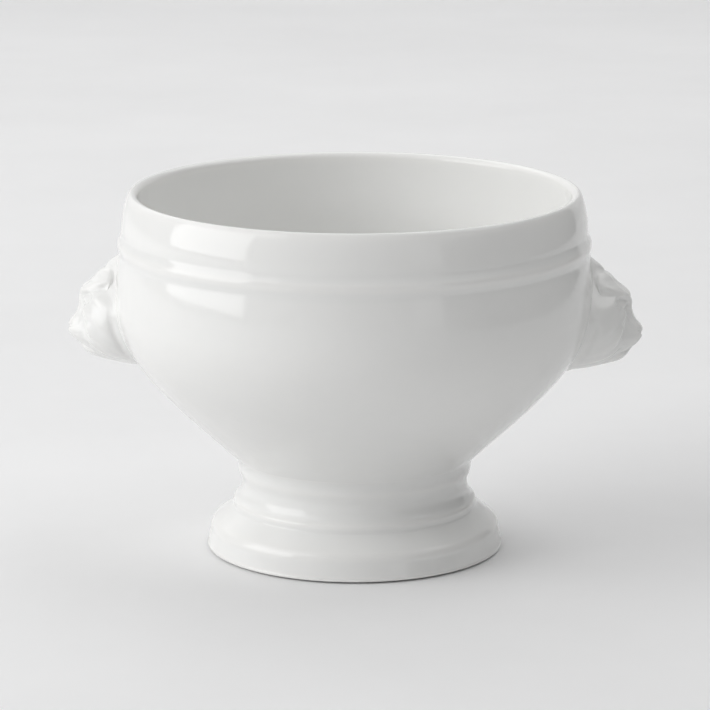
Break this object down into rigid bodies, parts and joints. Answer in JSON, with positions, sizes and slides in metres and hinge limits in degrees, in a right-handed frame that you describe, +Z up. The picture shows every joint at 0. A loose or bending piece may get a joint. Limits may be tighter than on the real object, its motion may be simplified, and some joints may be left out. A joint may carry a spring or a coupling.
{
  "type": "footed soup bowl",
  "caption": "Footed porcelain soup bowl with a rolled lip, a bead below its rim band, a hollow pedestal foot and a moulded lion's head on each side.",
  "frame": {"origin": "centre of the foot's standing ring, on the table", "axes": "+Z up through the middle of the bowl, +X through the right-hand lion's head"},
  "size_m": [0.1468, 0.1204, 0.0922],
  "materials": {
    "white_glaze": "clear gloss glaze over white porcelain"
  },
  "bodies": {
    "root": {"bowl": "white_glaze", "foot": "white_glaze", "lion_head_left": "white_glaze", "lion_head_right": "white_glaze"}
  },
  "joints": []
}
